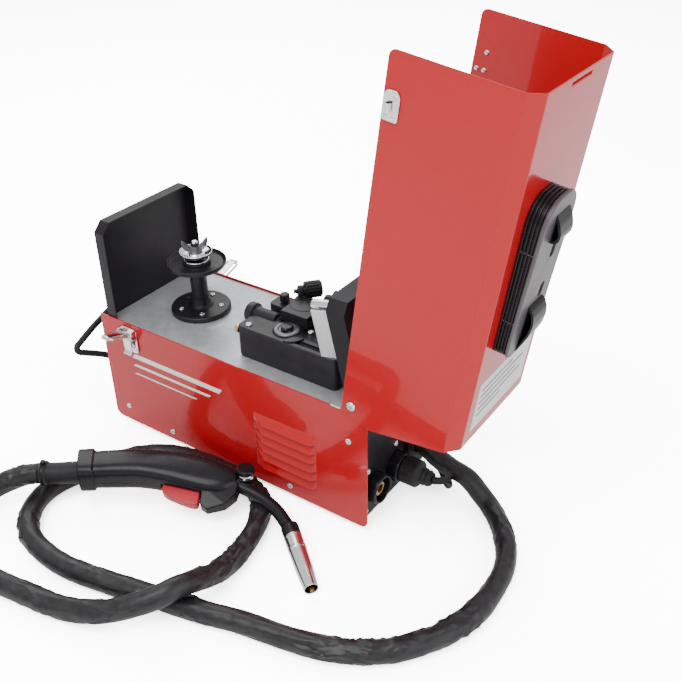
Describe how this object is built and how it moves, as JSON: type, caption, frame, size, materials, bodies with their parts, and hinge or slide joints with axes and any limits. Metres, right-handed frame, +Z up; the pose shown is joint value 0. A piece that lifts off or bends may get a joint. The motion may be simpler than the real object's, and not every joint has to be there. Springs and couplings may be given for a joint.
{
  "type": "MIG welding machine",
  "caption": "Portable wire-feed welding machine with a hinged top cover swung open over its spool post and wire feeder, ribbed carry handle, output sockets and a hose with gun.",
  "frame": {"origin": "centre of the flat pressed pad under the base tray", "axes": "+Z up, -Y towards the front panel with the sockets, +X towards the machine's right-hand side when seen from the rear"},
  "size_m": [0.4689, 0.5637, 0.4762],
  "materials": {
    "red_paint": "gloss powder coat",
    "black_paint": "fine satin powder coat",
    "zinc": "galvanised sheet",
    "chrome": "bright plate",
    "brass": "turned",
    "black_nylon": "moulded, lightly textured",
    "gloss_black": "moulded, polished",
    "red_plastic": "moulded",
    "rubber": "soft, matt",
    "board": "solder-masked laminate",
    "winding": "varnished windings and laminations",
    "cast_metal": "as cast, oiled",
    "aluminium": "extruded"
  },
  "bodies": {
    "case": {"base_tray": "black_paint", "foot_front_left": "rubber", "foot_front_right": "rubber", "foot_rear_left": "rubber", "foot_rear_right": "rubber", "side_panel_left": "red_paint", "side_panel_right": "red_paint", "deck_plate": "zinc", "front_panel": "black_paint", "rear_panel": "black_paint", "spool_post": "black_nylon", "brake_spring": "chrome", "cup_washer": "chrome", "feeder_body": "black_nylon", "inlet_guide": "black_nylon", "feed_motor": "zinc", "wire_conduit": "rubber", "control_board": "board", "board_capacitor": "chrome", "board_heat_sink": "aluminium", "transformer": "winding", "heat_sink": "aluminium", "fan_housing": "black_nylon", "switch_housing": "gloss_black", "socket_negative": "gloss_black", "socket_positive": "gloss_black", "polarity_lead": "rubber", "hose_gland": "rubber", "torch_hose": "rubber", "torch_boot": "rubber", "torch_handle_top": "gloss_black", "torch_handle_bottom": "gloss_black", "torch_neck": "black_nylon", "torch_nozzle": "chrome", "contact_tip": "brass", "latch_base_left": "chrome", "latch_base_right": "chrome", "hinge_screw_left": "chrome", "hinge_screw_right": "chrome", "mains_cord": "rubber"},
    "cover": {"cover": "red_paint", "carry_handle": "black_nylon", "catch_left": "chrome", "catch_right": "chrome"},
    "spool_disc": {"spool_disc": "black_nylon"},
    "wing_nut": {"wing_nut": "gloss_black"},
    "drive_roll": {"drive_roll": "cast_metal"},
    "pressure_arm": {"pressure_arm": "black_nylon"},
    "pressure_roll": {"pressure_roll": "chrome"},
    "tension_knob": {"tension_knob": "gloss_black"},
    "voltage_knob": {"voltage_knob": "gloss_black"},
    "wire_speed_knob": {"wire_speed_knob": "gloss_black"},
    "fan_rotor": {"fan_rotor": "black_nylon"},
    "power_rocker": {"power_rocker": "red_plastic"},
    "polarity_plug": {"polarity_plug": "rubber"},
    "torch_trigger": {"torch_trigger": "red_plastic"},
    "latch_lever_left": {"latch_lever_left": "chrome"},
    "latch_lever_right": {"latch_lever_right": "chrome"},
    "latch_bail_left": {"latch_bail_left": "chrome"},
    "latch_bail_right": {"latch_bail_right": "chrome"}
  },
  "joints": [
    {"name": "cover_hinge", "type": "hinge", "parent": "case", "child": "cover", "pos_m": [0, -0.1566, 0.1445], "axis": [1, 0, 0], "range_deg": [-98.1, 0]},
    {"name": "spool_spin", "type": "hinge", "parent": "case", "child": "spool_disc", "pos_m": [0, 0.0893, 0.19], "axis": [0, 0, 1], "continuous": true},
    {"name": "wing_nut_turn", "type": "hinge", "parent": "case", "child": "wing_nut", "pos_m": [0, 0.0893, 0.206], "axis": [0, 0, 1], "range_deg": [-180, 180]},
    {"name": "drive_roll_spin", "type": "hinge", "parent": "case", "child": "drive_roll", "pos_m": [-0.0287, -0.052, 0.16], "axis": [0, 0, 1], "continuous": true},
    {"name": "pressure_arm_swing", "type": "hinge", "parent": "case", "child": "pressure_arm", "pos_m": [0.002, -0.096, 0.165], "axis": [0, 0, 1], "range_deg": [-35, 0]},
    {"name": "pressure_roll_spin", "type": "hinge", "parent": "pressure_arm", "child": "pressure_roll", "pos_m": [-0.002, -0.052, 0.164], "axis": [0, 0, 1], "continuous": true},
    {"name": "tension_knob_turn", "type": "hinge", "parent": "pressure_arm", "child": "tension_knob", "pos_m": [0.0174, -0.0344, 0.185], "axis": [0.7511, -0.6601, 0], "range_deg": [-180, 180]},
    {"name": "voltage_knob_turn", "type": "hinge", "parent": "case", "child": "voltage_knob", "pos_m": [-0.028, -0.1596, 0.18297], "axis": [0, -0.9735, 0.2287], "range_deg": [-150, 150]},
    {"name": "wire_speed_knob_turn", "type": "hinge", "parent": "case", "child": "wire_speed_knob", "pos_m": [0.028, -0.1596, 0.18297], "axis": [0, -0.9735, 0.2287], "range_deg": [-150, 150]},
    {"name": "fan_spin", "type": "hinge", "parent": "case", "child": "fan_rotor", "pos_m": [0.018, 0.147, 0.07], "axis": [0, 1, 0], "continuous": true},
    {"name": "power_rocker_tilt", "type": "hinge", "parent": "case", "child": "power_rocker", "pos_m": [-0.043, 0.1589, 0.0995], "axis": [1, 0, 0], "range_deg": [-7, 7]},
    {"name": "polarity_plug_turn", "type": "hinge", "parent": "case", "child": "polarity_plug", "pos_m": [-0.008, -0.19, 0.036], "axis": [0, -1, 0], "range_deg": [-90, 0]},
    {"name": "torch_trigger_press", "type": "hinge", "parent": "case", "child": "torch_trigger", "pos_m": [-0.15536, 0.01307, 0.02685], "axis": [-0.2081, -0.1234, 0.9703], "range_deg": [0, 6], "stiffness_Nm_per_rad": 0.02},
    {"name": "latch_lever_left_lift", "type": "hinge", "parent": "case", "child": "latch_lever_left", "pos_m": [-0.0749, 0.13, 0.1186], "axis": [0, 1, 0], "range_deg": [0, 85]},
    {"name": "latch_lever_right_lift", "type": "hinge", "parent": "case", "child": "latch_lever_right", "pos_m": [0.0749, 0.13, 0.1186], "axis": [0, -1, 0], "range_deg": [0, 85]},
    {"name": "latch_bail_left_swing", "type": "hinge", "parent": "case", "child": "latch_bail_left", "pos_m": [-0.0765, 0.13, 0.126], "axis": [0, 1, 0], "range_deg": [-20, 70]},
    {"name": "latch_bail_right_swing", "type": "hinge", "parent": "case", "child": "latch_bail_right", "pos_m": [0.0765, 0.13, 0.126], "axis": [0, -1, 0], "range_deg": [-20, 70]}
  ],
  "couplings": [
    {"joint": "pressure_roll_spin", "follows": "drive_roll_spin", "ratio": -1.0635}
  ]
}
